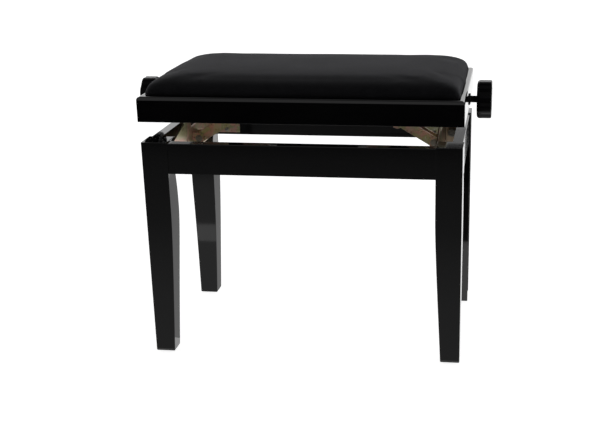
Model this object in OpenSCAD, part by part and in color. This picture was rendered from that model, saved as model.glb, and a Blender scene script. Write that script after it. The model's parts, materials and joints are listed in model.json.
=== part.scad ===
// Height-adjustable piano bench: four shaped legs, aprons, a mitred seat frame with an upholstered
// seat, and a screw lift. One spindle, turned by a knob at either end, moves two nuts along the seat
// frame; each nut stands on an arm hinged to the stand, and a guide link keeps the seat above its arm.
// Origin: on the floor, under the middle of the bench. +X to the right, +Y to the back, +Z up.

/* [Overall] */
// Width of the seat frame
seat_w = 552; // [530:2:600]
// Depth of the seat frame
seat_d = 338; // [320:2:380]
// Height of the leg tops above the floor
leg_top = 387; // [370:1:420]
// Gap between the leg tops and the seat frame in the stored pose
lift_gap = 35; // [30:0.5:60]

/* [Legs] */
// Width of a leg seen from the front
leg_w = 45; // [40:1:48]
// Width of a leg at the floor
foot_w = 34; // [26:1:38]
// Depth of a leg's square top, where the aprons meet it
post_d = 49; // [46:1:54]
// Depth of a leg at its neck, just under the aprons
neck_d = 32; // [28:1:36]
// Depth of a leg at its knee
knee_d = 48; // [42:1:54]
// Depth of a leg at the floor
foot_d = 33; // [26:1:36]

/* [Aprons] */
// Height of the aprons
apron_h = 53; // [50:0.5:56]
// Thickness of the front and back aprons
apron_t = 20; // [18:1:22]
// Thickness of the side aprons
side_apron_t = 18; // [16:1:20]

/* [Seat] */
// Height of the seat frame rails
rail_h = 43; // [38:1:46]
// Width of the seat frame rails seen from above
rail_w = 40; // [36:1:42]
// Radius of the rails' upper outer edge
rail_round = 6; // [3:0.5:9]
// Height of the cushion above the seat frame
cushion_h = 34; // [30:1:55]

/* [Lift] */
// Diameter of the spindle
spindle_d = 12; // [10:0.5:13]
// Diameter of the knobs
knob_d = 68; // [50:1:75]
// Thickness of the knobs
knob_t = 26; // [18:1:30]
// Height of the arms' steel channel
arm_h = 18.5; // [17:0.5:20]
// Thickness of the sheet steel
sheet_t = 2.5; // [2:0.1:2.7]

/* [Hidden] */

$fn = 48;
hull_fn = 32;
eps = 0.05;
fit_gap = 0.05;

// colours
lacquer = "#0b0b0c";
velour = "#17171a";
beech = "#caa472";
ply = "#2b2622";
zinc = "#b9ae86";
black_steel = "#2a2826";
steel = "#9a9da1";
black_plastic = "#111113";
foam_yellow = "#e3d9a6";

// stand
base_w = seat_w - 4;
base_d = seat_d - 2;
half_w = base_w / 2;
half_d = base_d / 2;
glide_h = 1.5;
glide_r = 8;
foot_chamfer = 1.5;
leg_steps = 14;
taper_pull = 0.92;
taper_low = 0.39;
taper_high = 0.58;
taper_end = 0.68;
calf_pull = 0.78;
calf_low = 0.5;
calf_high = 0.66;
apron_top = leg_top - 2;
apron_bottom = apron_top - apron_h;
knee_z = apron_bottom * 0.775;
post_z = apron_bottom + 2;
apron_recess = 2;
apron_round = 1;
side_recess = 2;
apron_inner_y = half_d - apron_recess - apron_t;
leg_inner_x = half_w - leg_w;
leg_inner_y = half_d - post_d;
side_inner_x = half_w - side_recess - side_apron_t;

// dowels and fasteners of the stand
dowel_r = 4;
dowel_len = 29;
dowel_inset = 13;
dowel_y = half_d - apron_recess - apron_t / 2;
dowel_x = half_w - side_recess - side_apron_t / 2;
dowel_zs = [apron_bottom + dowel_inset, apron_top - dowel_inset];
block_len = 34;
block_h = 44;
block_z = apron_bottom + 3;
block_inner_x = leg_inner_x + 0.5;
bolt_r = 4;
bolt_into_leg = 22;
bolt_x = (block_inner_x + side_inner_x) / 2;
bolt_z = block_z + block_h / 2;
bolt_head_h = 5.3;
bolt_head_r = 7.5;
washer_r = 8;
washer_t = 1.6;
wood_screw_r = 2;
screw_head_r = 4;
screw_head_h = 2.2;
block_screw_y = leg_inner_y - block_len + 10;
block_screw_dz = 15;
block_screw_len = 36;

// lift geometry, for the right-hand side
arm_len = 147.6;
pivot_x = leg_inner_x - 14;
pivot_z = apron_bottom + 28.5;
pin_r = 4;
rail_bottom = leg_top + lift_gap;
rail_top = rail_bottom + rail_h;
spindle_z = rail_bottom + 14.5;
spindle_r = spindle_d / 2;
arm_angle = asin((spindle_z - pivot_z) / arm_len);
nut_x = pivot_x - arm_len * cos(arm_angle);
mid_x = pivot_x - arm_len / 2 * cos(arm_angle);
mid_z = pivot_z + arm_len / 2 * sin(arm_angle);

// layers of the lift across its width, counted outwards from the spindle
nut_half_y = 9.5;
arm_y = 10.5;
base_ear_y = arm_y + sheet_t + 0.6;
link_y = arm_y + sheet_t + 1;
seat_ear_y = link_y + sheet_t + 0.5;

// arms, nuts and links
slot_run = 9.5;
slot_half = 4.8;
slot_back = 0.3;
arm_floor_from = 14;
arm_floor_to = arm_len - 24;
nut_l = 26;
nut_h = 22;
trunnion_r = 4;
trunnion_end = arm_y + sheet_t + 2.5;
clip_t = 1;
clip_r = 6.5;
mid_pin_r = 3.5;
mid_head_r = 9.5;
mid_head_t = 1;
mid_pin_end = link_y + sheet_t + 0.4;
link_r = 9;
link_eye_r = 11;
link_hole_r = 7;
link_hole_along = 2.9;
link_hole_down = 1.55;

// end bracket on the stand
web_x = leg_inner_x - 0.5 - sheet_t;
web_bottom = apron_bottom + 4.5;
web_end_top = apron_top - 4;
web_mid_top = apron_top + 13.5;
web_rise_from = 135;
web_rise_to = 65;
notch_half = 26;
notch_z = apron_top - 1.5;
tab_end_x = half_w - 96;
tab_screw_low = [tab_end_x + 26, web_bottom + 6];
tab_screw_high = [tab_end_x + 12, web_end_top - 9];
web_hole_y = 52;
web_hole_r = 2.5;
web_hole_z = apron_top - 19;
ear_r = 9.5;
ear_half_h = 9.5;
tab_screw_len = 14;

// seat
half_seat_w = seat_w / 2;
half_seat_d = seat_d / 2;
rail_inner_x = half_seat_w - rail_w;
rail_inner_y = half_seat_d - rail_w;
corner_leg = 38;
corner_bottom = rail_bottom + 8.5;
board_t = 9;
board_half_w = half_seat_w - 15.5;
board_half_d = half_seat_d - 18.5;
board_screw_r = 2;
board_screw_in = 11;
cover_half_w = half_seat_w - 10.5;
cover_half_d = half_seat_d - 13.5;
cover_t = 3;
cover_corner_r = 14;
// the cushion's section: shares of its height, and how far its sides are drawn in there
cushion_levels = [[0, 2], [0.25, 0], [0.6, 2.5], [0.82, 11], [0.94, 27], [1, 75]];

// spindle bearings and knobs
bush_r = 8;
bush_flange_r = 10;
bush_flange_t = 2;
plate_half_y = 42;
plate_half_z = 11.5;
plate_x = rail_inner_x - sheet_t;
plate_screw_y = 33;
plate_screw_len = 22;
collar_r = 10;
collar_l = 10;
collar_x = plate_x - 0.3 - collar_l;
grub_r = 2;
grub_bite = 1;
knob_x = half_seat_w + 13.5;
knob_corner = 7;
knob_lobes = 12;
knob_scallop_r = 9;
knob_scallop_in = 1.6;
knob_bore_l = 18;
link_pin_end = seat_ear_y + sheet_t + 1.5;
link_pin_head_r = 5.5;

// repeats a right-hand shape on the left
module on_side(side) mirror([side < 0 ? 1 : 0, 0, 0]) children();
module both_sides() for (side = [-1, 1]) on_side(side) children();
module both_ends() for (end = [-1, 1]) mirror([0, end < 0 ? 0 : 1, 0]) children();

// cylinders along X and Y
module rod_x(r, x0, x1) translate([x0, 0, 0]) rotate([0, 90, 0]) cylinder(r = r, h = x1 - x0);
module rod_y(r, y0, y1) translate([0, y1, 0]) rotate([90, 0, 0]) cylinder(r = r, h = y1 - y0);

// a plate with its outline in X and Z, between two places in Y
module plate_xz(y0, y1) translate([0, y1, 0]) rotate([90, 0, 0]) linear_extrude(y1 - y0) children();

// a plate with its outline in Y and Z, between two places in X
module plate_yz(x0, x1) translate([x0, 0, 0]) rotate([90, 0, 90]) linear_extrude(x1 - x0) children();

// points of a cubic curve
function curve(a, b, c, d, steps) = [for (i = [0:steps]) let (t = i / steps)
    pow(1 - t, 3) * a + 3 * pow(1 - t, 2) * t * b + 3 * (1 - t) * t * t * c + pow(t, 3) * d];

// points of a quarter ellipse, from its flat end to its steep end
function shoulder(centre, rx, rz, steps) = [for (i = [0:steps]) let (a = 90 * i / steps)
    [centre[0] + rx * cos(a), centre[1] + rz * sin(a)]];

// the foot of a leg's outline: its outer corner is at 0, and both lower corners are chamfered
function foot_points(width) = [[0, glide_h + foot_chamfer], [foot_chamfer, glide_h],
    [width - foot_chamfer, glide_h]];

// a leg's outline from the front, counted inwards from its outer face
module leg_front_outline() polygon(concat(
    [[0, leg_top]], foot_points(foot_w),
    curve([foot_w, glide_h + foot_chamfer], [leg_w * taper_pull, leg_top * taper_low],
        [leg_w, leg_top * taper_high], [leg_w, leg_top * taper_end], leg_steps),
    [[leg_w, leg_top]]));

// a leg's outline from the side, counted inwards from its front or back face
module leg_side_outline() polygon(concat(
    [[0, leg_top]], foot_points(foot_d),
    curve([foot_d, glide_h + foot_chamfer], [knee_d * calf_pull, apron_bottom * calf_low],
        [knee_d, apron_bottom * calf_high], [knee_d, knee_z], leg_steps),
    [for (p = shoulder([neck_d, knee_z], knee_d - neck_d, post_z - knee_z, leg_steps))
        if (p[1] > knee_z + eps) p],
    [[post_d, post_z], [post_d, leg_top]]));

// the bores that the dowels and the leg bolt need in a front left leg
module leg_bores() {
    for (z = dowel_zs) {
        translate([0, -dowel_y, z])
            rod_x(dowel_r + fit_gap, -leg_inner_x - dowel_len / 2 - fit_gap, -leg_inner_x + 1);
        translate([-dowel_x, 0, z])
            rod_y(dowel_r + fit_gap, -leg_inner_y - dowel_len / 2 - fit_gap, -leg_inner_y + 1);
    }
    translate([-bolt_x, 0, bolt_z])
        rod_y(bolt_r + fit_gap, -leg_inner_y - bolt_into_leg - 1, -leg_inner_y + 1);
}

module leg() color(lacquer) difference() {
    intersection() {
        translate([-half_w, 0, 0]) plate_xz(-half_d, -half_d + knee_d) leg_front_outline();
        translate([0, -half_d, 0]) plate_yz(-half_w, -half_w + leg_w) leg_side_outline();
    }
    leg_bores();
}

module leg_front_left() leg();
module leg_front_right() mirror([1, 0, 0]) leg();
module leg_rear_left() mirror([0, 1, 0]) leg();
module leg_rear_right() mirror([1, 0, 0]) mirror([0, 1, 0]) leg();

// an apron's section: outer face at 0, upper outer edge rounded
module apron_section(t) difference() {
    square([t, apron_h]);
    translate([-eps, apron_h - apron_round])
        difference() {
            square([apron_round + eps, apron_round + eps]);
            translate([apron_round + eps, 0]) circle(r = apron_round);
        }
}

module long_apron() color(lacquer) difference() {
    translate([0, -half_d + apron_recess, apron_bottom])
        plate_yz(-leg_inner_x, leg_inner_x) apron_section(apron_t);
    both_sides() {
        for (z = dowel_zs) translate([0, -dowel_y, z])
            rod_x(dowel_r + fit_gap, leg_inner_x - dowel_len / 2 - fit_gap, leg_inner_x + 1);
        for (p = [tab_screw_low, tab_screw_high]) translate([p[0], 0, p[1]])
            rod_y(wood_screw_r + fit_gap, -apron_inner_y - tab_screw_len, -apron_inner_y + 1);
    }
}

module side_apron() color(lacquer) difference() {
    translate([half_w - side_recess, 0, apron_bottom])
        mirror([1, 0, 0]) plate_xz(-leg_inner_y, leg_inner_y) apron_section(side_apron_t);
    both_ends() {
        for (z = dowel_zs) translate([dowel_x, 0, z])
            rod_y(dowel_r + fit_gap, -leg_inner_y - 1, -leg_inner_y + dowel_len / 2 + fit_gap);
        for (dz = [-block_screw_dz, block_screw_dz]) translate([0, -block_screw_y, bolt_z + dz])
            rod_x(wood_screw_r + fit_gap, side_inner_x - 1, block_inner_x + block_screw_len + 1);
    }
}

module apron_front() long_apron();
module apron_rear() mirror([0, 1, 0]) long_apron();
module apron_left() mirror([1, 0, 0]) side_apron();
module apron_right() side_apron();

module apron_dowels() color(beech) both_sides() both_ends() for (z = dowel_zs) {
    translate([0, -dowel_y, z])
        rod_x(dowel_r, leg_inner_x - dowel_len / 2, leg_inner_x + dowel_len / 2);
    translate([dowel_x, 0, z])
        rod_y(dowel_r, -leg_inner_y - dowel_len / 2, -leg_inner_y + dowel_len / 2);
}

module corner_blocks() color(beech) both_sides() both_ends() difference() {
    translate([block_inner_x, -leg_inner_y, block_z])
        cube([side_inner_x - block_inner_x, block_len, block_h]);
    translate([bolt_x, 0, bolt_z]) rod_y(bolt_r + fit_gap, -leg_inner_y - 1, -leg_inner_y + block_len + 1);
    for (dz = [-block_screw_dz, block_screw_dz]) translate([0, -block_screw_y, bolt_z + dz]) {
        rod_x(wood_screw_r + fit_gap, block_inner_x - 1, side_inner_x + 1);
        rod_x(screw_head_r + fit_gap, block_inner_x - 1, block_inner_x + screw_head_h + fit_gap);
    }
}

module corner_block_screws() color(steel) both_sides() both_ends()
    for (dz = [-block_screw_dz, block_screw_dz]) translate([block_inner_x, -block_screw_y, bolt_z + dz]) {
        rod_x(screw_head_r, 0, screw_head_h);
        rod_x(wood_screw_r, eps, block_screw_len);
    }

module leg_bolts() color(steel) both_sides() both_ends() translate([bolt_x, 0, bolt_z]) {
    head_y = -leg_inner_y + block_len + washer_t;
    rod_y(bolt_r, -leg_inner_y - bolt_into_leg, head_y + eps);
    translate([0, head_y + bolt_head_h, 0]) rotate([90, 30, 0])
        cylinder(r = bolt_head_r, h = bolt_head_h, $fn = 6);
}

module leg_bolt_washers() color(steel) both_sides() both_ends()
    translate([bolt_x, -leg_inner_y + block_len, bolt_z]) difference() {
        rod_y(washer_r, 0, washer_t);
        rod_y(bolt_r + fit_gap, -1, washer_t + 1);
    }

module foot_glides() color(black_plastic) both_sides() both_ends()
    translate([half_w - foot_w / 2, -half_d + foot_d / 2, 0]) cylinder(r = glide_r, h = glide_h);

// end bracket: a cross strap with two tabs, two ears for the arm's pivot, and a notch for the spindle
module end_bracket() color(zinc) difference() {
    union() {
        plate_yz(web_x, web_x + sheet_t) polygon(concat(
            [[-apron_inner_y, web_bottom], [apron_inner_y, web_bottom], [apron_inner_y, web_end_top]],
            [[web_rise_from, web_end_top], [web_rise_to, web_mid_top], [notch_half, web_mid_top],
                [notch_half, notch_z], [-notch_half, notch_z], [-notch_half, web_mid_top],
                [-web_rise_to, web_mid_top], [-web_rise_from, web_end_top]],
            [[-apron_inner_y, web_end_top]]));
        both_ends() {
            translate([tab_end_x, -apron_inner_y, web_bottom])
                cube([web_x + sheet_t - tab_end_x, sheet_t, web_end_top - web_bottom]);
            plate_xz(base_ear_y, base_ear_y + sheet_t) {
                translate([pivot_x, pivot_z]) circle(r = ear_r);
                translate([pivot_x, pivot_z - ear_half_h]) square([web_x - pivot_x + eps, 2 * ear_half_h]);
            }
        }
    }
    translate([pivot_x, 0, pivot_z]) rod_y(pin_r + fit_gap, -apron_inner_y / 2, apron_inner_y / 2);
    for (y = [-web_hole_y, web_hole_y]) translate([0, y, web_hole_z])
        rod_x(web_hole_r, web_x - 1, web_x + sheet_t + 1);
    both_ends() for (p = [tab_screw_low, tab_screw_high]) translate([p[0], 0, p[1]])
        rod_y(wood_screw_r + fit_gap, -apron_inner_y - 1, -apron_inner_y + sheet_t + 1);
}

module end_bracket_left() on_side(-1) end_bracket();
module end_bracket_right() end_bracket();

module end_bracket_screws() color(steel) both_sides() both_ends()
    for (p = [tab_screw_low, tab_screw_high]) translate([p[0], -apron_inner_y + sheet_t, p[1]]) {
        rod_y(screw_head_r, 0, screw_head_h);
        rod_y(wood_screw_r, -sheet_t - tab_screw_len + 1, eps);
    }

module base_pivot_pins() color(steel) both_sides() translate([pivot_x, 0, pivot_z]) {
    end = base_ear_y + sheet_t + 2;
    rod_y(pin_r, -end - clip_t, end);
    rod_y(clip_r, end, end + 1.5);
}

module base_pivot_clips() color(steel) both_sides() translate([pivot_x, 0, pivot_z]) difference() {
    near = base_ear_y + sheet_t + 0.2;
    rod_y(clip_r, -near - clip_t, -near);
    rod_y(pin_r + fit_gap, -near - clip_t - 1, -near + 1);
}

// a seat rail's section: outer face at 0, upper outer edge rounded
module rail_section() difference() {
    square([rail_w, rail_h]);
    translate([-eps, rail_h - rail_round])
        difference() {
            square([rail_round + eps, rail_round + eps]);
            translate([rail_round + eps, 0]) circle(r = rail_round);
        }
}

// keeps a rail inside its two mitres
module mitre_wedge(half_len, half_depth) translate([0, 0, rail_bottom - 1]) linear_extrude(rail_h + 2)
    polygon([[-half_len, -half_depth], [half_len, -half_depth],
        [half_len - rail_w, -half_depth + rail_w], [-half_len + rail_w, -half_depth + rail_w]]);

module long_rail() color(lacquer) intersection() {
    translate([0, -half_seat_d, rail_bottom]) plate_yz(-half_seat_w, half_seat_w) rail_section();
    mitre_wedge(half_seat_w, half_seat_d);
}

module side_rail() color(lacquer) difference() {
    intersection() {
        translate([half_seat_w, 0, rail_bottom])
            mirror([1, 0, 0]) plate_xz(-half_seat_d, half_seat_d) rail_section();
        rotate([0, 0, 90]) mitre_wedge(half_seat_d, half_seat_w);
    }
    translate([0, 0, spindle_z]) {
        rod_x(bush_r + fit_gap, rail_inner_x - 1, half_seat_w + 1);
        for (y = [-plate_screw_y, plate_screw_y]) translate([0, y, 0])
            rod_x(wood_screw_r + fit_gap, rail_inner_x - 1, rail_inner_x + plate_screw_len);
    }
}

module rail_front() long_rail();
module rail_rear() mirror([0, 1, 0]) long_rail();
module rail_left() on_side(-1) side_rail();
module rail_right() side_rail();

module rail_corner_blocks() color(beech) both_sides() both_ends() difference() {
    translate([rail_inner_x, -rail_inner_y, corner_bottom])
        linear_extrude(rail_top - corner_bottom) polygon([[0, 0], [-corner_leg, 0], [0, corner_leg]]);
    translate([rail_inner_x - board_screw_in, -rail_inner_y + board_screw_in, corner_bottom - 1])
        cylinder(r = board_screw_r + fit_gap, h = rail_top - corner_bottom + 2);
}

module seat_board() color(ply) difference() {
    translate([-board_half_w, -board_half_d, rail_top]) cube([2 * board_half_w, 2 * board_half_d, board_t]);
    both_sides() both_ends()
        translate([rail_inner_x - board_screw_in, -rail_inner_y + board_screw_in, rail_top - 1])
            cylinder(r = board_screw_r + fit_gap, h = board_t - 1);
}

module seat_board_screws() color(steel) both_sides() both_ends()
    translate([rail_inner_x - board_screw_in, -rail_inner_y + board_screw_in, corner_bottom]) {
        translate([0, 0, -screw_head_h]) cylinder(r = screw_head_r, h = screw_head_h);
        translate([0, 0, -eps]) cylinder(r = board_screw_r, h = rail_top - corner_bottom + board_t - 3);
    }

// one level of the cushion: a thin rounded plate of the given half width and half depth
module cushion_level(z, half_x, half_y) translate([0, 0, z]) linear_extrude(eps) hull()
    for (x = [-1, 1], y = [-1, 1])
        translate([x * (half_x - cover_corner_r), y * (half_y - cover_corner_r)])
            circle(r = cover_corner_r, $fn = hull_fn);

// the crowned cushion, drawn in all round by shrink, from a lowest level up
module cushion_form(shrink, bottom) {
    top = rail_top + cushion_h - shrink;
    hull() for (level = cushion_levels)
        cushion_level(bottom + (top - eps - bottom) * level[0],
            cover_half_w - shrink - level[1], cover_half_d - shrink - level[1]);
}

module seat_foam() color(foam_yellow) cushion_form(cover_t + fit_gap, rail_top + board_t);

module seat_cover() color(velour) difference() {
    cushion_form(0, rail_top);
    cushion_form(cover_t, rail_top + board_t);
    translate([-board_half_w - fit_gap, -board_half_d - fit_gap, rail_top - 1])
        cube([2 * (board_half_w + fit_gap), 2 * (board_half_d + fit_gap), board_t + 1 + fit_gap]);
}

module spindle_bush() color(steel) translate([0, 0, spindle_z]) difference() {
    union() {
        rod_x(bush_r, plate_x, half_seat_w + eps);
        rod_x(bush_flange_r, half_seat_w, half_seat_w + bush_flange_t);
    }
    rod_x(spindle_r + fit_gap, plate_x - 1, half_seat_w + bush_flange_t + 1);
}

module spindle_bush_left() on_side(-1) spindle_bush();
module spindle_bush_right() spindle_bush();

// seat bracket: a plate on the side rail with two ears that carry the guide link's pivot
module seat_bracket() color(zinc) translate([0, 0, spindle_z]) difference() {
    union() {
        translate([plate_x, -plate_half_y, -plate_half_z])
            cube([sheet_t, 2 * plate_half_y, 2 * plate_half_z]);
        both_ends() plate_xz(seat_ear_y, seat_ear_y + sheet_t) {
            translate([pivot_x, 0]) circle(r = link_r);
            translate([pivot_x, -link_r]) square([plate_x - pivot_x + eps, 2 * link_r]);
        }
    }
    rod_x(bush_r + fit_gap, plate_x - 1, plate_x + sheet_t + 1);
    for (y = [-plate_screw_y, plate_screw_y]) translate([0, y, 0])
        rod_x(wood_screw_r + fit_gap, plate_x - 1, plate_x + sheet_t + 1);
    translate([pivot_x, 0, 0])
        rod_y(mid_pin_r + fit_gap, -seat_ear_y - sheet_t - 1, seat_ear_y + sheet_t + 1);
}

module seat_bracket_left() on_side(-1) seat_bracket();
module seat_bracket_right() seat_bracket();

module seat_bracket_screws() color(steel) both_sides() for (y = [-plate_screw_y, plate_screw_y])
    translate([plate_x, y, spindle_z]) {
        rod_x(screw_head_r, -screw_head_h, 0);
        rod_x(wood_screw_r, -eps, sheet_t + plate_screw_len - 1);
    }

// stub pins, one in each ear, so that the spindle passes between them
module link_pivot_pins() color(steel) both_sides() both_ends() translate([pivot_x, 0, spindle_z]) {
    rod_y(mid_pin_r, link_y - 0.3, link_pin_end);
    rod_y(link_pin_head_r, seat_ear_y + sheet_t, link_pin_end);
}

module spindle() color(black_steel) difference() {
    translate([0, 0, spindle_z]) rod_x(spindle_r, -knob_x - knob_bore_l, knob_x + knob_bore_l);
    both_sides() translate([collar_x + collar_l / 2, 0, spindle_z + spindle_r - grub_bite])
        cylinder(r = grub_r + fit_gap, h = 2);
}

// a knob with a rounded rim and shallow finger scallops
module knob() color(black_plastic) translate([knob_x, 0, spindle_z]) difference() {
    rotate([0, 90, 0]) rotate_extrude() {
        square([knob_d / 2 - knob_corner, knob_t]);
        translate([0, knob_corner]) square([knob_d / 2, knob_t - 2 * knob_corner]);
        for (h = [knob_corner, knob_t - knob_corner])
            translate([knob_d / 2 - knob_corner, h]) circle(r = knob_corner);
    }
    for (i = [0:knob_lobes - 1]) rotate([360 / knob_lobes * i, 0, 0])
        translate([0, 0, knob_d / 2 + knob_scallop_r - knob_scallop_in])
            rod_x(knob_scallop_r, -1, knob_t + 1);
    rod_x(spindle_r + fit_gap, -1, knob_bore_l + fit_gap);
}

module knob_left() on_side(-1) knob();
module knob_right() knob();

module thrust_collars() color(steel) both_sides() translate([0, 0, spindle_z]) difference() {
    rod_x(collar_r, collar_x, collar_x + collar_l);
    rod_x(spindle_r + fit_gap, collar_x - 1, collar_x + collar_l + 1);
    translate([collar_x + collar_l / 2, 0, 0]) cylinder(r = grub_r + fit_gap, h = collar_r + 1);
}

module collar_grub_screws() color(steel) both_sides()
    translate([collar_x + collar_l / 2, 0, spindle_z + spindle_r - grub_bite + fit_gap])
        cylinder(r = grub_r, h = collar_r - spindle_r);

// a nut with a trunnion on each side
module nut() color(steel) translate([nut_x, 0, spindle_z]) difference() {
    union() {
        translate([-nut_l / 2, -nut_half_y, -nut_h / 2]) cube([nut_l, 2 * nut_half_y, nut_h]);
        rod_y(trunnion_r, -trunnion_end, trunnion_end);
    }
    rod_x(spindle_r + fit_gap, -nut_l, nut_l);
}

module nut_clips() color(steel) translate([nut_x, 0, spindle_z]) both_ends() difference() {
    near = arm_y + sheet_t + 0.5;
    rod_y(clip_r, near, near + clip_t);
    rod_y(trunnion_r + fit_gap, near - 1, near + clip_t + 1);
}

module nut_left() on_side(-1) nut();
module nut_right() nut();
module nut_clips_left() on_side(-1) nut_clips();
module nut_clips_right() nut_clips();

// places what is drawn along +X from the base pivot, with the arm's slope
module along_arm()
    translate([pivot_x, 0, pivot_z]) mirror([1, 0, 0]) rotate([0, -arm_angle, 0]) children();

// an arm: a steel channel, open on top, with a slot at the nut's end
module arm() color(zinc) along_arm() difference() {
    union() {
        both_ends() plate_xz(arm_y, arm_y + sheet_t) {
            circle(r = arm_h / 2);
            translate([0, -arm_h / 2]) square([arm_len + slot_run, arm_h]);
            translate([arm_len + slot_run, 0]) circle(r = arm_h / 2);
        }
        translate([arm_floor_from, -arm_y - eps, -arm_h / 2])
            cube([arm_floor_to - arm_floor_from, 2 * (arm_y + eps), sheet_t]);
    }
    rod_y(pin_r + fit_gap, -arm_y - sheet_t - 1, arm_y + sheet_t + 1);
    translate([arm_len / 2, 0, 0])
        rod_y(mid_pin_r + fit_gap, -arm_y - sheet_t - 1, arm_y + sheet_t + 1);
    plate_xz(-arm_y - sheet_t - 1, arm_y + sheet_t + 1) {
        translate([arm_len - slot_back, 0]) circle(r = slot_half);
        translate([arm_len - slot_back, -slot_half]) square([slot_run + slot_back, 2 * slot_half]);
        translate([arm_len + slot_run, 0]) circle(r = slot_half);
    }
}

module arm_left() on_side(-1) arm();
module arm_right() arm();

module mid_pin() color(steel) translate([mid_x, 0, mid_z]) {
    rod_y(mid_pin_r, -mid_pin_end - mid_head_t, mid_pin_end + mid_head_t);
    both_ends() rod_y(mid_head_r, mid_pin_end, mid_pin_end + mid_head_t);
}

module mid_pin_left() on_side(-1) mid_pin();
module mid_pin_right() mid_pin();

// places what is drawn along +X from the seat pivot, with the guide link's slope
module along_link()
    translate([pivot_x, 0, spindle_z]) mirror([1, 0, 0]) rotate([0, arm_angle, 0]) children();

// a guide link: two flat bars outside the arm, with a clearance hole round the middle pin
module link() color(zinc) along_link() both_ends() plate_xz(link_y, link_y + sheet_t) difference() {
    eye_x = arm_len / 2 + link_hole_along;
    union() {
        circle(r = link_r);
        translate([0, -link_r]) square([eye_x, 2 * link_r - 1]);
        translate([eye_x, -link_hole_down]) circle(r = link_eye_r);
    }
    circle(r = mid_pin_r + fit_gap);
    translate([eye_x, -link_hole_down]) circle(r = link_hole_r);
}

module link_left() on_side(-1) link();
module link_right() link();

leg_front_left();
leg_front_right();
leg_rear_left();
leg_rear_right();
apron_front();
apron_rear();
apron_left();
apron_right();
apron_dowels();
corner_blocks();
corner_block_screws();
leg_bolts();
leg_bolt_washers();
foot_glides();
end_bracket_left();
end_bracket_right();
end_bracket_screws();
base_pivot_pins();
base_pivot_clips();
rail_front();
rail_rear();
rail_left();
rail_right();
rail_corner_blocks();
seat_board();
seat_board_screws();
seat_foam();
seat_cover();
spindle_bush_left();
spindle_bush_right();
seat_bracket_left();
seat_bracket_right();
seat_bracket_screws();
link_pivot_pins();
spindle();
knob_left();
knob_right();
thrust_collars();
collar_grub_screws();
nut_left();
nut_right();
nut_clips_left();
nut_clips_right();
arm_left();
arm_right();
mid_pin_left();
mid_pin_right();
link_left();
link_right();
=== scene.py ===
"""Looks of the piano bench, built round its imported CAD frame. Metres, +X right, +Y back, +Z up."""

import json
import math

import bmesh
import bpy
import numpy as np
from mathutils import Matrix, Vector, noise


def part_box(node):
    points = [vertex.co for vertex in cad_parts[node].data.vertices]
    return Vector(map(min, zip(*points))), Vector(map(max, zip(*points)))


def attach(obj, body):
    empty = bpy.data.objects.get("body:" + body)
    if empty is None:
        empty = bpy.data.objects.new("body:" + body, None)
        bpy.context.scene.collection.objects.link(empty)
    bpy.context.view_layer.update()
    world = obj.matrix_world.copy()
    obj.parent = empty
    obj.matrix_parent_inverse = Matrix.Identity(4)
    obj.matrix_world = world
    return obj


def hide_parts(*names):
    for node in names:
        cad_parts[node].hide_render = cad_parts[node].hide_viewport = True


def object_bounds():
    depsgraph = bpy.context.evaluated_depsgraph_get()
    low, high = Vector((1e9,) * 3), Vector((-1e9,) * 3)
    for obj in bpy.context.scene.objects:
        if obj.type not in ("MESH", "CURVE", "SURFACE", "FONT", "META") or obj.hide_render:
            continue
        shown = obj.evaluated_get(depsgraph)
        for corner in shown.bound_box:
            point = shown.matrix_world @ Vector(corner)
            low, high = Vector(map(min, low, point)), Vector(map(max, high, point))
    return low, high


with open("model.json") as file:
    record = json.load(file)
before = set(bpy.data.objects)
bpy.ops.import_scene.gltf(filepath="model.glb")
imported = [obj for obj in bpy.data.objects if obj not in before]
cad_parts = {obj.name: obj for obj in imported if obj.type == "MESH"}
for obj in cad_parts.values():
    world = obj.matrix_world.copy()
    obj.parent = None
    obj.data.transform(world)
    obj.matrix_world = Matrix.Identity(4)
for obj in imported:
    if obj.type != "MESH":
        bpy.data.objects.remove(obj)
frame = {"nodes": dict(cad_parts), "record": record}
cad_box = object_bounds()

BODY_OF = {
    node: body
    for body, nodes in frame["record"]["behaviour"]["bodies"].items()
    for node in nodes
}
SLOT_OF = {part["node"]: part["material_slot"] for part in frame["record"]["subparts"]}
MM = 0.001


# ---------------------------------------------------------------- material nodes


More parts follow.
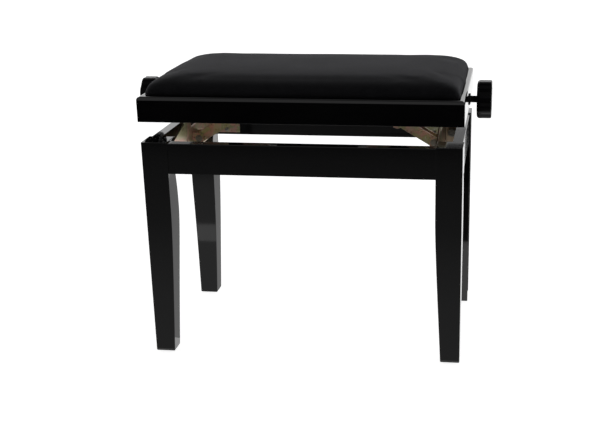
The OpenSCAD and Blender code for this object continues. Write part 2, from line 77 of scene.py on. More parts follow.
class Finish:
    """A material being built: a Principled shader, and short calls that add nodes to it."""

    def __init__(self, name, **sockets):
        self.material = bpy.data.materials.new(name)
        self.material.use_nodes = True
        self.tree = self.material.node_tree
        self.shader = self.tree.nodes["Principled BSDF"]
        self.place = self.node("TexCoord").outputs["Object"]
        self.set(**sockets)

    def node(self, kind, settings=None, **inputs):
        """Adds a shader node. Inputs are numbers, colours or other nodes' outputs, by socket name."""
        made = self.tree.nodes.new("ShaderNode" + kind)
        for key, value in (settings or {}).items():
            setattr(made, key, value)
        for key, value in inputs.items():
            self.join(made.inputs[key.replace("_", " ")], value)
        return made

    def join(self, socket, value):
        """Links another node's output to the socket, or sets the socket to a value."""
        if isinstance(value, bpy.types.NodeSocket):
            self.tree.links.new(value, socket)
        else:
            socket.default_value = value

    def set(self, **sockets):
        """Joins values or outputs to the shader's own sockets, by name."""
        for key, value in sockets.items():
            self.join(self.shader.inputs[key.replace("_", " ")], value)
        return self

    def stretched(self, x, y, z):
        """Object coordinates scaled apart, for grain, brushing and streaks."""
        return self.node("Mapping", Vector=self.place, Scale=(x, y, z)).outputs["Vector"]

    def grain(self, scale, detail=2.0, roughness=0.5, distortion=0.0, where=None):
        """Noise from 0 to 1."""
        return self.node(
            "TexNoise", Vector=where or self.place, Scale=scale, Detail=detail,
            Roughness=roughness, Distortion=distortion,
        ).outputs["Fac"]

    def cells(self, scale, where=None):
        """Distance to the nearest cell centre."""
        return self.node("TexVoronoi", Vector=where or self.place, Scale=scale).outputs["Distance"]

    def spread(self, value, low, high, to_low=0.0, to_high=1.0):
        """Maps value from low..high to to_low..to_high, held at both ends."""
        made = self.node("MapRange", {"clamp": True}, Value=value)
        for key, number in (
            ("From Min", low), ("From Max", high), ("To Min", to_low), ("To Max", to_high)
        ):
            made.inputs[key].default_value = number
        return made.outputs["Result"]

    def math(self, operation, a, b=0.0):
        """The result of a Math node's operation on a and b."""
        made = self.node("Math", {"operation": operation})
        self.join(made.inputs[0], a)
        self.join(made.inputs[1], b)
        return made.outputs["Value"]

    def ramp(self, value, *stops):
        """A colour for each (position, (r, g, b)) stop, blended in between."""
        made = self.node("ValToRGB", Fac=value)
        bar = made.color_ramp.elements
        while len(bar) < len(stops):
            bar.new(0.5)
        for element, (position, colour) in zip(bar, stops):
            element.position = position
            element.color = (*colour, 1.0)
        return made.outputs["Color"]

    def mix(self, share, a, b):
        """Colour a at share 0 and colour b at share 1."""
        made = self.node("Mix", {"data_type": "RGBA"})
        self.join(made.inputs["Factor"], share)
        for key, value in ((6, a), (7, b)):
            flat = value if isinstance(value, bpy.types.NodeSocket) else (*value, 1.0)
            self.join(made.inputs[key], flat)
        return made.outputs[2]

    def bump(self, height, depth, strength=1.0, under=None):
        """Tilts the surface by a height from 0 to 1 that stands for depth metres."""
        made = self.node("Bump", Height=height, Distance=depth, Strength=strength)
        if under is not None:
            self.join(made.inputs["Normal"], under)
        return made.outputs["Normal"]

    def softened(self, radius):
        """The surface normal, turned as if each edge had that radius."""
        return self.node("Bevel", {"samples": 4}, Radius=radius).outputs["Normal"]

    def edges(self, radius):
        """About 1 within radius of an edge, and 0 on open faces."""
        rounded = self.softened(radius)
        true = self.node("NewGeometry").outputs["Normal"]
        facing = self.node("VectorMath", {"operation": "DOT_PRODUCT"})
        self.join(facing.inputs[0], rounded)
        self.join(facing.inputs[1], true)
        return self.spread(facing.outputs["Value"], 0.99, 0.90)


def black_lacquer():
    """Polished black lacquer: faint orange peel, hairlines, and a little rubbing on the edges."""
    f = Finish("black_lacquer", IOR=1.5)
    haze = f.grain(7, 5, 0.6)
    hairlines = f.grain(1, 3, 0.6, where=f.stretched(900, 900, 14))
    rubbed = f.math("MULTIPLY", f.edges(1.2 * MM), f.spread(f.grain(60, 4), 0.5, 0.75))
    worn = f.math("MULTIPLY", rubbed, 0.12)
    dull = f.math("ADD", f.spread(haze, 0.35, 0.75, 0.045, 0.08), worn)
    dull = f.math("ADD", dull, f.spread(hairlines, 0.6, 0.8, 0.0, 0.03))
    peel = f.bump(f.grain(140, 1), 0.012 * MM)
    deep = f.mix(haze, (0.0004, 0.0004, 0.0005), (0.0012, 0.0012, 0.0013))
    f.set(
        Base_Color=f.mix(rubbed, deep, (0.006, 0.006, 0.006)),
        Roughness=dull,
        Normal=f.bump(hairlines, 0.004 * MM, under=peel),
    )
    return f.material


def velour():
    """Short-pile black velour: pile, brushed patches of nap, and a soft sheen."""
    f = Finish(
        "velour", Roughness=0.9, IOR=1.4, Sheen_Weight=0.195, Sheen_Roughness=0.45,
        Sheen_Tint=(0.66, 0.66, 0.70, 1.0), Specular_IOR_Level=0.08,
    )
    brushed = f.grain(1, 3, 0.5, 0.8, where=f.stretched(9, 14, 26))
    nap = f.grain(42, 4, 0.6, 0.4)
    pile = f.grain(2600, 2)
    tufts = f.grain(420, 3, 0.6)
    lying, raised = (0.0010, 0.0010, 0.0014), (0.0040, 0.0040, 0.0046)
    shade = f.mix(f.spread(brushed, 0.35, 0.65), lying, raised)
    shade = f.mix(f.spread(nap, 0.3, 0.75), shade, (0.006, 0.006, 0.0068))
    shade = f.mix(f.spread(pile, 0.45, 0.8), shade, (0.012, 0.012, 0.0135))
    soft = f.bump(brushed, 1.2 * MM, 0.3)
    soft = f.bump(nap, 0.4 * MM, 0.3, soft)
    soft = f.bump(tufts, 0.22 * MM, 0.5, soft)
    f.set(Base_Color=shade, Normal=f.bump(pile, 0.25 * MM, 0.6, soft))
    return f.material


def foam():
    """Pale open-cell foam, with painted shade in its pores."""
    f = Finish("foam", Roughness=0.95, Specular_IOR_Level=0.2)
    pores = f.cells(900)
    tone = f.mix(f.grain(25, 4), (0.74, 0.66, 0.40), (0.83, 0.77, 0.55))
    # darker brown towards each pore's centre: painted shade inside the pores
    f.set(
        Base_Color=f.mix(f.spread(pores, 0.0, 0.45), (0.35, 0.30, 0.16), tone),
        Normal=f.bump(pores, 0.6 * MM, 0.8),
    )
    return f.material


def wood(name, light, dark, along, rings):
    """Raw wood with its grain along one axis (0, 1 or 2)."""
    f = Finish(name, Specular_IOR_Level=0.35)
    stretch = [rings, rings, rings]
    stretch[along] = rings * 0.06
    fibre = f.grain(1, 6, 0.65, 0.8, where=f.stretched(*stretch))
    pores = f.grain(1, 2, 0.5, where=f.stretched(*[s * 9 for s in stretch]))
    tone = f.mix(f.spread(fibre, 0.3, 0.72), light, dark)
    pore_tone = tuple(c * 0.55 for c in dark)
    f.set(
        Base_Color=f.mix(f.spread(pores, 0.62, 0.75, 0.0, 0.5), tone, pore_tone),
        Roughness=f.spread(fibre, 0.3, 0.7, 0.55, 0.75),
        Normal=f.bump(pores, 0.1 * MM, 0.5, f.bump(fibre, 0.15 * MM, 0.4)),
    )
    return f.material


def beech():
    return wood("beech", (0.36, 0.28, 0.19), (0.22, 0.16, 0.10), along=1, rings=90)


def dark_board():
    """Plywood stained black: veneer grain on the faces and thin plies at the edges."""
    two_plies = 3 * MM
    f = Finish("dark_board", Specular_IOR_Level=0.2)
    veneer = f.grain(1, 6, 0.6, 1.2, where=f.stretched(5, 70, 70))
    face = f.mix(f.spread(veneer, 0.3, 0.7), (0.012, 0.010, 0.009), (0.026, 0.021, 0.017))
    height = f.node("SeparateXYZ", Vector=f.place).outputs["Z"]
    plies = f.math("SINE", f.math("MULTIPLY", height, 2 * math.pi / two_plies))
    edge = f.mix(f.spread(plies, -0.3, 0.3), (0.010, 0.008, 0.007), (0.030, 0.024, 0.018))
    up = f.node("SeparateXYZ", Vector=f.node("NewGeometry").outputs["Normal"]).outputs["Z"]
    on_face = f.spread(f.math("ABSOLUTE", up), 0.4, 0.6)
    f.set(
        Base_Color=f.mix(on_face, edge, face),
        Roughness=f.spread(veneer, 0.3, 0.7, 0.6, 0.8),
        Normal=f.bump(veneer, 0.1 * MM, 0.5),
    )
    return f.material


def yellow_zinc():
    """Yellow chromate over zinc: straw, pink and green bands that drift over the sheet, and a painted
    highlight along the edges.
    """
    f = Finish("yellow_zinc", Metallic=1.0)
    drift = f.grain(15, 3, 0.55, 1.6)
    blotch = f.grain(70, 4, 0.6, 0.6)
    band = f.math("ADD", f.math("MULTIPLY", drift, 0.8), f.math("MULTIPLY", blotch, 0.2))
    film = f.ramp(
        band,
        (0.30, (0.56, 0.55, 0.42)), (0.40, (0.37, 0.37, 0.19)), (0.47, (0.50, 0.45, 0.30)),
        (0.54, (0.62, 0.36, 0.30)), (0.61, (0.40, 0.40, 0.20)), (0.68, (0.56, 0.52, 0.42)),
        (0.78, (0.70, 0.66, 0.56)),
    )
    stain = f.spread(f.grain(230, 3), 0.60, 0.70, 0.0, 0.6)
    # paler base colour near the edges: a painted highlight along the edges
    painted_edge_highlight = f.math("MULTIPLY", f.edges(0.4 * MM), 0.6)
    f.set(
        Base_Color=f.mix(painted_edge_highlight, f.mix(stain, film, (0.07, 0.055, 0.03)), (0.52, 0.50, 0.42)),
        Roughness=f.spread(blotch, 0.3, 0.7, 0.26, 0.46),
        Normal=f.bump(f.grain(700, 2), 0.02 * MM, under=f.softened(0.3 * MM)),
    )
    return f.material


def plated(name, light, dark, smooth, rough):
    """Plated or blackened steel with fine drawing lines and cloudy patches of duller metal."""
    f = Finish(name, Metallic=1.0)
    cloud = f.grain(120, 4, 0.6)
    lines = f.grain(1, 2, where=f.stretched(2500, 300, 300))
    f.set(
        Base_Color=f.mix(f.spread(cloud, 0.35, 0.7), light, dark),
        Roughness=f.spread(cloud, 0.3, 0.7, smooth, rough),
        Normal=f.bump(lines, 0.01 * MM, under=f.softened(0.25 * MM)),
    )
    return f.material


def steel():
    return plated("steel", (0.33, 0.32, 0.29), (0.21, 0.20, 0.18), smooth=0.25, rough=0.45)


def bush_steel():
    light, dark = (0.014, 0.014, 0.015), (0.008, 0.008, 0.008)
    return plated("bush_steel", light, dark, smooth=0.25, rough=0.45)


def black_steel():
    light, dark = (0.020, 0.019, 0.018), (0.011, 0.010, 0.010)
    return plated("black_steel", light, dark, smooth=0.22, rough=0.4)


def moulded(name, tone, smooth, rough, pits, gloss=0.5, dust=0.0):
    """Moulded plastic: a fine spark texture, scuffs, an uneven gloss and, if asked, some dust."""
    f = Finish(name, IOR=1.49, Specular_IOR_Level=gloss, Sheen_Weight=dust, Sheen_Roughness=0.3)
    spark = f.grain(pits, 2)
    scuffs = f.grain(1, 4, 0.6, 0.3, where=f.stretched(60, 240, 240))
    f.set(
        Base_Color=f.mix(f.spread(scuffs, 0.55, 0.8), tone, tuple(2.5 * c for c in tone)),
        Roughness=f.spread(scuffs, 0.4, 0.75, smooth, rough),
        Normal=f.bump(spark, 0.015 * MM),
    )
    return f.material


def knob_plastic():
    return moulded(
        "knob_plastic", (0.0012, 0.0012, 0.0014), smooth=0.07, rough=0.2, pits=1100,
        gloss=0.06, dust=0.12,
    )


def glide_plastic():
    return moulded("glide_plastic", (0.02, 0.02, 0.02), smooth=0.45, rough=0.65, pits=1800)


MAKERS = {
    maker.__name__: maker
    for maker in (
        black_lacquer, velour, foam, beech, dark_board, yellow_zinc, steel, bush_steel,
        black_steel, knob_plastic, glide_plastic,
    )
}
FINISHES = {slot: maker() for slot, maker in MAKERS.items()}


# ---------------------------------------------------------------- mesh helpers


def mesh_piece(name, bm, smooth=35.0):
    """A new object from a bmesh, smooth but for edges sharper than that many degrees."""
    mesh = bpy.data.meshes.new(name)
    bmesh.ops.recalc_face_normals(bm, faces=bm.faces)
    bm.to_mesh(mesh)
    bm.free()
    mesh.shade_smooth()
    mesh.set_sharp_from_angle(angle=math.radians(smooth))
    piece = bpy.data.objects.new(name, mesh)
    bpy.context.scene.collection.objects.link(piece)
    return piece


def stand_for(piece, *nodes):
    """The piece takes over from these CAD nodes: their body, their slot and its finish."""
    first = nodes[0]
    piece.data.materials.clear()
    piece.data.materials.append(FINISHES[SLOT_OF[first]])
    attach(piece, BODY_OF[first])
    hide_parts(*nodes)
    return piece


def welded(node):
    """A bmesh of a CAD node's own surface, welded and with its flat faces whole."""
    bm = bmesh.new()
    bm.from_mesh(frame["nodes"][node].data)
    bmesh.ops.remove_doubles(bm, verts=bm.verts, dist=0.001 * MM)
    bmesh.ops.dissolve_limit(
        bm, angle_limit=math.radians(0.1), verts=bm.verts, edges=bm.edges,
        use_dissolve_boundaries=False,
    )
    return bm


def is_mitre(face):
    """True for a face that stands at 45 degrees in plan, as a mitre's does."""
    n = face.normal
    return abs(n.z) < 0.01 and abs(abs(n.x) - abs(n.y)) < 0.01


def eased(node, radius, angle=40.0):
    """A copy of a CAD node whose sharp edges are eased to a small radius, which stands for it."""
    bm = welded(node)
    sharp = [
        e
        for e in bm.edges
        if len(e.link_faces) == 2
        and e.calc_length() > 2.2 * radius
        and e.calc_face_angle() > math.radians(angle)
        and not any(is_mitre(f) for f in e.link_faces)
    ]
    bmesh.ops.bevel(
        bm, geom=sharp, offset=radius, offset_type="OFFSET", segments=3, profile=0.5,
        affect="EDGES", clamp_overlap=False, miter_outer="SHARP", miter_inner="SHARP",
    )
    piece = stand_for(mesh_piece(node + "_finished", bm), node)
    weighted = piece.modifiers.new("weighted normals", "WEIGHTED_NORMAL")
    weighted.keep_sharp = True
    return piece


# ---------------------------------------------------------------- stage, light and camera


CAMERA_PLACE = (0.3567, -1.9881, 0.8219)
CAMERA_TURN = (0.1361, 0.3385, -0.0125)
CAMERA_SHIFT = (-0.117, 0.0847)
LENS, FILM_WIDTH = 69.0, 36.0


def add_camera():
    """The camera, to the right of the middle, above the seat and looking a little down."""
    data = bpy.data.cameras.new("camera")
    data.lens = LENS
    data.sensor_width = FILM_WIDTH
    data.shift_x, data.shift_y = CAMERA_SHIFT
    camera = bpy.data.objects.new("camera", data)
    yaw, pitch, roll = CAMERA_TURN
    turn = (
        Matrix.Rotation(yaw, 4, "Z")
        @ Matrix.Rotation(math.pi / 2 - pitch, 4, "X")
        @ Matrix.Rotation(roll, 4, "Z")
    )
    camera.matrix_world = Matrix.Translation(CAMERA_PLACE) @ turn
    bpy.context.scene.collection.objects.link(camera)
    bpy.context.scene.camera = camera


def flat_stage(name, x, y, z):
    """A horizontal rectangle for the stage, from x[0] to x[1] and y[0] to y[1]."""
    mesh = bpy.data.meshes.new(name)
    corners = [(x[0], y[0], z), (x[1], y[0], z), (x[1], y[1], z), (x[0], y[1], z)]
    mesh.from_pydata(corners, [], [(0, 1, 2, 3)])
    made = bpy.data.objects.new(name, mesh)
    bpy.context.scene.collection.objects.link(made)
    return made


def add_surround():
    """White light from all round, softer from overhead."""
    fade_from, fade_to = 0.35, 0.95
    level, overhead = 1.0, 0.12
    world = bpy.data.worlds.new("surround")
    world.use_nodes = True
    tree = world.node_tree
    up = tree.nodes.new("ShaderNodeSeparateXYZ")
    place = tree.nodes.new("ShaderNodeTexCoord")
    fade = tree.nodes.new("ShaderNodeMapRange")
    for key, number in (
        ("From Min", fade_from), ("From Max", fade_to), ("To Min", level), ("To Max", overhead)
    ):
        fade.inputs[key].default_value = number
    tree.links.new(place.outputs["Generated"], up.inputs["Vector"])
    tree.links.new(up.outputs["Z"], fade.inputs["Value"])
    tree.links.new(fade.outputs["Result"], tree.nodes["Background"].inputs["Strength"])
    tree.nodes["Background"].inputs["Color"].default_value = (1.0, 1.0, 1.0, 1.0)
    bpy.context.scene.world = world


def card(name, profile, x, glow, seen_by="glossy"):
    """A card seen by one kind of ray alone: (y, z) points drawn out from x[0] to x[1]."""
    bm = bmesh.new()
    ends = [[bm.verts.new((across, y, z)) for y, z in profile] for across in x]
    for i in range(len(profile) - 1):
        bm.faces.new((ends[0][i], ends[0][i + 1], ends[1][i + 1], ends[1][i]))
    made = mesh_piece(name, bm, 1)
    paint = Finish(name, Base_Color=(0, 0, 0, 1), Specular_IOR_Level=0.0, Roughness=1.0)
    paint.set(Emission_Color=(1, 1, 1, 1), Emission_Strength=glow(paint))
    made.data.materials.append(paint.material)
    for kind in ("camera", "diffuse", "glossy", "shadow", "transmission"):
        setattr(made, "visible_" + kind, kind == seen_by)


def add_floor(top):
    """A pale floor that runs out of sight on all sides."""
    reach = 30
    floor = flat_stage("floor", (-reach, reach), (-reach, reach), top)
    paper = Finish("floor_paper", Roughness=0.9, Specular_IOR_Level=0.1)
    tone = paper.mix(paper.grain(3, 3), (0.64, 0.64, 0.64), (0.66, 0.66, 0.66))
    paper.set(Base_Color=tone, Emission_Color=(1, 1, 1, 1), Emission_Strength=0.9)
    floor.data.materials.append(paper.material)


def add_cards():
    """Cards on the floor and upright in front and behind, for the lacquer to reflect."""
    low, high = cad_box
    near, far = low.y - 0.01, low.y - 3.0
    above = 1 * MM
    wide, tent_wide = (-5, 5), (-6, 6)

    def fading(paint):
        """Bright at the feet and black some two metres ahead."""
        ahead = paint.node("SeparateXYZ", Vector=paint.place).outputs["Y"]
        share = paint.spread(ahead, near, near - 2.0)
        stops = ((0.0, 0.35), (0.12, 0.31), (0.38, 0.16), (0.70, 0.095), (0.93, 0.0))
        return paint.ramp(share, *[(place, (glow,) * 3) for place, glow in stops])

    ahead_of_feet = ((far, above), (near, above))
    behind_feet = ((low.y + 0.06, above), (high.y + 1.3, above))
    card("front_card", ahead_of_feet, wide, fading)
    card("back_card", behind_feet, (-0.6, 0.17), lambda paint: 0.46)

    tent = ((far, 0.0), (far, 4.0), (-0.9, 4.6))
    card("front_glow", tent, tent_wide, lambda paint: 0.5)
    card("front_shade", tent, tent_wide, lambda paint: 0.05, "diffuse")

    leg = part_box("leg_rear_right")[1]
    flag_y = leg.y + 0.03
    flag_x = (leg.x + 0.5 * MM, leg.x + 10 * MM)
    card("leg_flag", ((flag_y, above), (flag_y, 0.4)), flag_x, lambda paint: 0.0)


def add_stage():
    """The floor, the surround and the cards. The floor is a hair below the feet."""
    bpy.context.scene.view_settings.view_transform = "Standard"
    add_surround()
    add_floor(cad_box[0].z - 0.2 * MM)
    add_cards()


# ---------------------------------------------------------------- wood and metal


LACQUERED = [node for node, slot in SLOT_OF.items() if slot == "black_lacquer"]


def add_woodwork():
    """Legs and rails with softly rounded edges, and aprons with crisper ones."""
    soft, crisp = 0.7 * MM, 0.25 * MM
    for node in LACQUERED:
        eased(node, crisp if node.startswith("apron") else soft)


def finish_cad_nodes():
    """Every CAD node that still shows takes its slot's finish."""
    for node, part in frame["nodes"].items():
        if not part.hide_render:
            part.data.materials.clear()
            part.data.materials.append(FINISHES[SLOT_OF[node]])


# ---------------------------------------------------------------- cushion


def crown(depth, reach):
    """Share of the full rise at a depth in from the outline, as on a quarter ellipse."""
    share = min(max(depth / reach, 0.0), 1.0)
    return math.sqrt(1.0 - (1.0 - share) ** 2)


def outline(half_x, half_y, corner, steps=10):
    """Points round a rectangle with round corners, from the right, anticlockwise."""
    points = []
    for quadrant, (sx, sy) in enumerate(((1, 1), (-1, 1), (-1, -1), (1, -1))):
        for step in range(steps + 1):
            a = math.pi / 2 * (quadrant + step / steps)
            points.append((
                sx * (half_x - corner) + corner * math.cos(a),
                sy * (half_y - corner) + corner * math.sin(a),
            ))
    return points


def cushion_form(low, high, rolled):
    """A closed form in a box: upright sides, a rounded top edge, softer corners, a low crown."""
    bm = bmesh.new()
    rings = []
    tall = high.z - low.z
    side, edge = 0.42 * tall, 0.37 * tall
    corner_reach, crown_reach = 36 * MM, 120 * MM
    plan_corner, middle_y = 15 * MM, 30 * MM
    ring_count = 28

    def height(x, y, inset):
        corner = math.exp(-(high.x - abs(x) + high.y - abs(y)) / corner_reach)
        upright = side * (1.0 - 0.55 * corner)
        rounding = edge + side - upright - 0.2 * tall * corner
        middle = 1.0 - (1.0 - min(inset / crown_reach, 1.0)) ** 2
        share = crown(inset, edge * (1.0 + 1.2 * corner))
        return upright + rounding * share + (tall - side - edge) * middle

    def ring(inset, lift=1.0):
        points = outline(high.x - inset, high.y - inset, plan_corner + 0.2 * inset)
        depth = max(inset, 0.0) if lift == 1.0 else 0.0
        rings.append([
            bm.verts.new((x, y, low.z + lift * height(x, y, depth))) for x, y in points
        ])

    ring(rolled, 0.0)
    ring(rolled * 0.35, 0.35)
    ring(0.0)
    for step in range(1, ring_count + 1):
        ring((step / ring_count) ** 1.9 * (high.y - middle_y))
    for a, b in zip(rings, rings[1:]):
        for i in range(len(a)):
            j = (i + 1) % len(a)
            bm.faces.new((a[i], a[j], b[j], b[i]))
    bm.faces.new(rings[-1])
    bm.faces.new(list(reversed(rings[0])))
    return bm


def modified(piece, kind, **settings):
    """Adds a modifier, applies it and leaves its result in the piece's mesh."""
    added = piece.modifiers.new(kind.lower(), kind)
    for key, value in settings.items():
        setattr(added, key, value)
    bake(piece)


def bake(piece):
    """Puts what the piece's modifiers make into its mesh, and takes the modifiers off."""
    graph = bpy.context.evaluated_depsgraph_get()
    mesh = bpy.data.meshes.new_from_object(piece.evaluated_get(graph), depsgraph=graph)
    piece.modifiers.clear()
    piece.data = mesh


def inflate(piece, pinned_below, pressure, frames, most):
    """Swells a closed cloth form by simulation. No point moves further than most."""
    start = np.array([v.co[:] for v in piece.data.vertices])
    held = piece.vertex_groups.new(name="held")
    held.add([i for i, co in enumerate(start) if co[2] < pinned_below], 1.0, "REPLACE")
    cloth = piece.modifiers.new("cloth", "CLOTH")
    settings = cloth.settings
    settings.use_pressure = True
    settings.uniform_pressure_force = pressure
    settings.vertex_group_mass = "held"
    settings.mass = 0.25
    settings.tension_stiffness = 18
    settings.compression_stiffness = 18
    settings.bending_stiffness = 1.2
    settings.effector_weights.gravity = 0
    cloth.collision_settings.use_collision = False
    scene = bpy.context.scene
    cloth.point_cache.frame_start = 1
    cloth.point_cache.frame_end = frames
    for frame_number in range(1, frames + 1):
        scene.frame_set(frame_number)
    bake(piece)
    scene.frame_set(1)
    for vertex, first in zip(piece.data.vertices, start):
        move = vertex.co - Vector(first)
        if move.length > most:
            vertex.co = Vector(first) + move * (most / move.length)


def add_foam(cover):
    """The foam under the cover: the cover's own form, further in, cut off on the seat board."""
    depth = -3.1
    bm = bmesh.new()
    bm.from_mesh(cover.data)
    bm.normal_update()
    moves = [v.normal * depth * MM for v in bm.verts]
    for vertex, move in zip(bm.verts, moves):
        vertex.co += move
    board_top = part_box("seat_foam")[0].z + 0.05 * MM
    cut = bmesh.ops.bisect_plane(
        bm, geom=bm.verts[:] + bm.edges[:] + bm.faces[:], dist=0.001 * MM,
        plane_co=(0, 0, board_top), plane_no=(0, 0, -1), clear_outer=True,
    )["geom_cut"]
    bmesh.ops.edgeloop_fill(bm, edges=[e for e in cut if isinstance(e, bmesh.types.BMEdge)])
    piece = mesh_piece("foam_pad", bm, 60)
    stand_for(piece, "seat_foam")


def add_cushion():
    """The velour cover: a crowned form swollen by simulation, hollow over the foam."""
    low, high = (Vector(corner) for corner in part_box("seat_cover"))
    room_to_swell = Vector((2.0, 2.0, 3.0)) * MM
    proud_x, proud_y, cloth = 2.5 * MM, 0.5 * MM, 2.2 * MM
    lump, lumps_x, lumps_y = 0.8 * MM, 9, 12
    passes_all, passes_corner, corner_zone = 2, 14, 120 * MM
    piece = mesh_piece("cushion", cushion_form(low, high - room_to_swell, 3 * MM), 60)
    modified(piece, "REMESH", mode="VOXEL", voxel_size=5 * MM)
    inflate(piece, pinned_below=low.z + 3 * MM, pressure=4.0, frames=20, most=2.5 * MM)

    bm = bmesh.new()
    bm.from_mesh(piece.data)
    under = [
        f
        for f in bm.faces
        if f.normal.z < -0.6 and f.calc_center_median().z < low.z + 2 * MM
    ]
    bmesh.ops.delete(bm, geom=under, context="FACES")
    inside = [v for v in bm.verts if not v.is_boundary]
    corners = [v for v in inside if high.x - abs(v.co.x) + high.y - abs(v.co.y) < corner_zone]
    for chosen in [inside] * passes_all + [corners] * passes_corner:
        bmesh.ops.smooth_vert(
            bm, verts=chosen, factor=0.5, use_axis_x=True, use_axis_y=True, use_axis_z=True
        )
    sizes = [max(abs(v.co[k]) for v in bm.verts) for k in (0, 1)]
    top = max(v.co.z for v in bm.verts)
    for vertex in bm.verts:
        co = vertex.co
        up = max(co.z - low.z, 0.0) / (top - low.z)
        uneven = noise.noise(Vector((co.x * lumps_x, co.y * lumps_y, 3.0))) + 0.6
        co.x *= (high.x + proud_x) / sizes[0]
        co.y *= (high.y + proud_y) / sizes[1]
        co.z = low.z + up * (high.z - low.z) + uneven * lump * up ** 2
        if vertex.is_boundary:
            co.z = low.z + 0.1 * MM
    bm.to_mesh(piece.data)
    bm.free()
    modified(piece, "SUBSURF", levels=1, render_levels=1)
    add_foam(piece)
    modified(piece, "SOLIDIFY", thickness=cloth, offset=-1.0, use_rim=True)
    piece.data.shade_smooth()
    stand_for(piece, "seat_cover")


# ---------------------------------------------------------------- turned pieces


def turned(bm, place, profile, radius_at=None, steps=96):
    """Revolves (along, radius) points; place(along, across, up) sets them in space."""
    rings = []
    for along, radius in profile:
        if radius < 1e-7:
            rings.append([bm.verts.new(place(along, 0.0, 0.0))])
            continue
        ring = []
        for step in range(steps):
            a = 2 * math.pi * step / steps
            r = radius_at(along, radius, a) if radius_at else radius
            ring.append(bm.verts.new(place(along, r * math.cos(a), r * math.sin(a))))
        rings.append(ring)
    for a, b in zip(rings, rings[1:]):
        for i in range(steps):
            j = (i + 1) % steps
            corners = [a[i % len(a)], a[j % len(a)], b[j % len(b)], b[i % len(b)]]
            corners = [v for k, v in enumerate(corners) if v not in corners[:k]]
            if len(corners) > 2:
                bm.faces.new(corners)


def arc(centre, radius, start, stop, steps=6):
    """(along, radius) points on a quarter round, angles in degrees from the along axis."""
    return [
        (centre[0] + radius * math.cos(a), centre[1] + radius * math.sin(a))
        for a in (math.radians(degrees) for degrees in np.linspace(start, stop, steps))
    ]


def add_knob(side):
    """A moulded knob: dished inner face round a boss, scalloped rim, shallow outer face."""
    node = "knob_left" if side < 0 else "knob_right"
    low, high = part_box(node)
    spindle_r = (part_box("spindle")[1].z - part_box("spindle")[0].z) / 2
    thick = high.x - low.x
    rim = (high.z - low.z) / 2
    middle = (high.z + low.z) / 2
    inner = high.x if side < 0 else low.x
    inner_r, outer_r = 5.5 * MM, 2.5 * MM
    bore, bore_end = spindle_r + 0.05 * MM, 18.1 * MM
    lobes, lobe_depth = 8, 1.9 * MM
    lobes_from = 0.72

    def place(along, across, up):
        return (inner + side * along, across, middle + up)

    def radius_at(along, radius, a):
        share = min(max((radius - rim * lobes_from) / (rim * 0.28), 0.0), 1.0)
        scallop = (0.5 + 0.5 * math.cos(lobes * a)) ** 1.6
        return radius - lobe_depth * share * scallop

    profile = [(bore_end, 0.0), (bore_end, bore), (0.6 * MM, bore), (0.1 * MM, bore + 0.5 * MM)]
    profile += [(0.1 * MM, 11.0 * MM), (0.5 * MM, 11.6 * MM), (2.6 * MM, 12.6 * MM)]
    profile += [(3.2 * MM, 14.5 * MM), (3.2 * MM, rim - 11 * MM), (2.4 * MM, rim - 9.4 * MM)]
    profile += [(0.5 * MM, rim - 8 * MM)]
    profile += arc((inner_r + 0.1 * MM, rim - inner_r), inner_r, 180, 90, 8)
    profile += arc((thick - outer_r, rim - outer_r), outer_r, 90, 0, 6)
    profile += [(thick - 0.4 * MM, rim - 9 * MM), (thick - 1.2 * MM, rim - 11 * MM)]
    profile += [(thick - 1.0 * MM, rim - 16 * MM), (thick - 0.5 * MM, 6 * MM)]
    profile += [(thick - 0.4 * MM, 0.0)]
    bm = bmesh.new()
    turned(bm, place, profile, radius_at, 192)
    stand_for(mesh_piece(node + "_moulded", bm, 40), node)


def add_spindle():
    """The spindle: a right-hand thread at +X, a left-hand one at -X, and plain journals."""
    low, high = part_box("spindle")
    middle = (low.z + high.z) / 2
    crest = (high.z - low.z) / 2
    pitch, root = 3 * MM, 1.3 * MM
    thread_from, thread_to = 30 * MM, 195 * MM
    chamfer = 0.6 * MM
    stations = [low.x, low.x + chamfer]
    threads = np.arange(thread_from, thread_to + pitch / 12, pitch / 6)
    stations += [-x for x in reversed(threads)] + list(threads)
    stations += [high.x - chamfer, high.x]

    def radius_at(along, radius, a):
        reach = abs(along)
        if not thread_from < reach < thread_to - 0.001 * MM:
            return radius
        turn = along / pitch - math.copysign(a / (2 * math.pi), along)
        wave = abs(2 * (turn % 1.0) - 1.0)
        blend = min((reach - thread_from) / pitch, (thread_to - reach) / pitch, 1.0)
        return radius - root * blend * min(max(1.6 * wave - 0.3, 0.0), 1.0)

    profile = [(low.x, 0.0)]
    for number, x in enumerate(stations):
        at_end = number in (0, len(stations) - 1)
        profile.append((x, crest - (chamfer if at_end else 0.0)))
    profile.append((high.x, 0.0))
    bm = bmesh.new()
    turned(bm, lambda along, across, up: (along, across, middle + up), profile, radius_at, 36)
    stand_for(mesh_piece("spindle_threaded", bm, 50), "spindle")


def islands(node):
    """The separate solids of a CAD node, each as an array of its points."""
    bm = welded(node)
    seen = set()
    found = []
    for first in bm.verts:
        if first in seen:
            continue
        group, queue = [], [first]
        seen.add(first)
        while queue:
            vertex = queue.pop()
            group.append(vertex.co[:])
            for edge in vertex.link_edges:
                other = edge.other_vert(vertex)
                if other not in seen:
                    seen.add(other)
                    queue.append(other)
        found.append(np.array(group))
    bm.free()
    return found


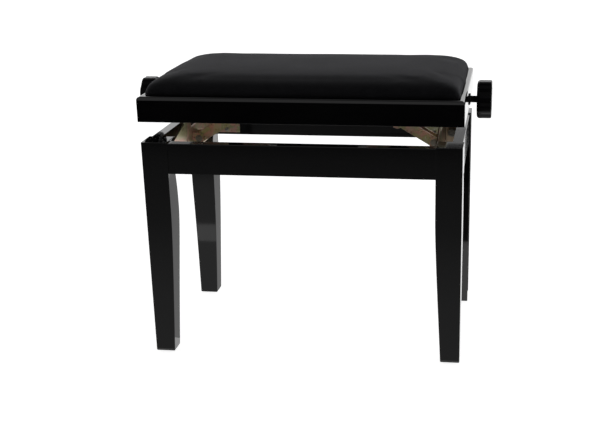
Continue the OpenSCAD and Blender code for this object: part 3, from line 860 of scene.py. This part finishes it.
def add_screws(node):
    """Pan-head screws with a cross recess and a threaded shank, one for each screw of the node."""
    recess_hub, recess_arm, arm_half_angle = 0.15, 0.56, 12.0
    pitch, plain, point = 1.4 * MM, 2 * MM, 1.2 * MM
    bm = bmesh.new()
    for points in islands(node):
        low, high = points.min(0), points.max(0)
        axis = int(np.argmax(high - low))
        others = [k for k in range(3) if k != axis]
        middle = (low + high) / 2
        off = np.hypot(*(points[:, k] - middle[k] for k in others))
        head_r = off.max()
        at_head = points[off > 0.9 * head_r, axis]
        tip_up = abs(at_head.mean() - low[axis]) < abs(at_head.mean() - high[axis])
        toward = 1.0 if tip_up else -1.0
        start = low[axis] if tip_up else high[axis]
        head_h = at_head.max() - at_head.min()
        length = high[axis] - low[axis]
        shank_r = off[off < 0.8 * head_r].max()

        def place(along, across, up):
            spot = [0.0, 0.0, 0.0]
            spot[axis] = start + toward * along
            spot[others[0]] = middle[others[0]] + across
            spot[others[1]] = middle[others[1]] + up
            return spot

        def driven(along, across, up):
            """Sinks the points inside the cross recess of the head's top."""
            radius = math.hypot(across, up) / head_r
            turn = math.degrees(math.atan2(up, across)) % 90.0
            in_arm = min(turn, 90.0 - turn) < arm_half_angle and radius < recess_arm
            if along < 0.01 * head_h and (radius < recess_hub or in_arm):
                along = (0.6 - 0.4 * radius) * head_h
            return place(along, across, up)

        flat = [(0.0, share * head_r) for share in (0.0, 0.12, 0.16, 0.3, 0.54, 0.58, 0.66)]
        side = [(0.12, 0.82), (0.35, 0.93), (0.7, 1.0), (1.0, 1.0)]
        profile = flat + [(h * head_h, r * head_r) for h, r in side] + [(head_h, shank_r)]
        crests = np.arange(head_h + plain, length - plain, pitch / 2)
        profile += [(x, shank_r * (1.0 if i % 2 else 0.8)) for i, x in enumerate(crests)]
        profile += [(length - point, shank_r * 0.7), (length, 0.0)]
        turned(bm, driven, profile, None, 32)
    stand_for(mesh_piece(node + "_cross", bm, 35), node)


def add_turned_pieces():
    """Both knobs, the spindle and every set of screws but the headless grub screws."""
    add_knob(-1)
    add_knob(1)
    add_spindle()
    for node in SLOT_OF:
        if node.endswith("_screws") and "grub" not in node:
            add_screws(node)


add_camera()
add_stage()
add_woodwork()
add_turned_pieces()
add_cushion()
finish_cad_nodes()
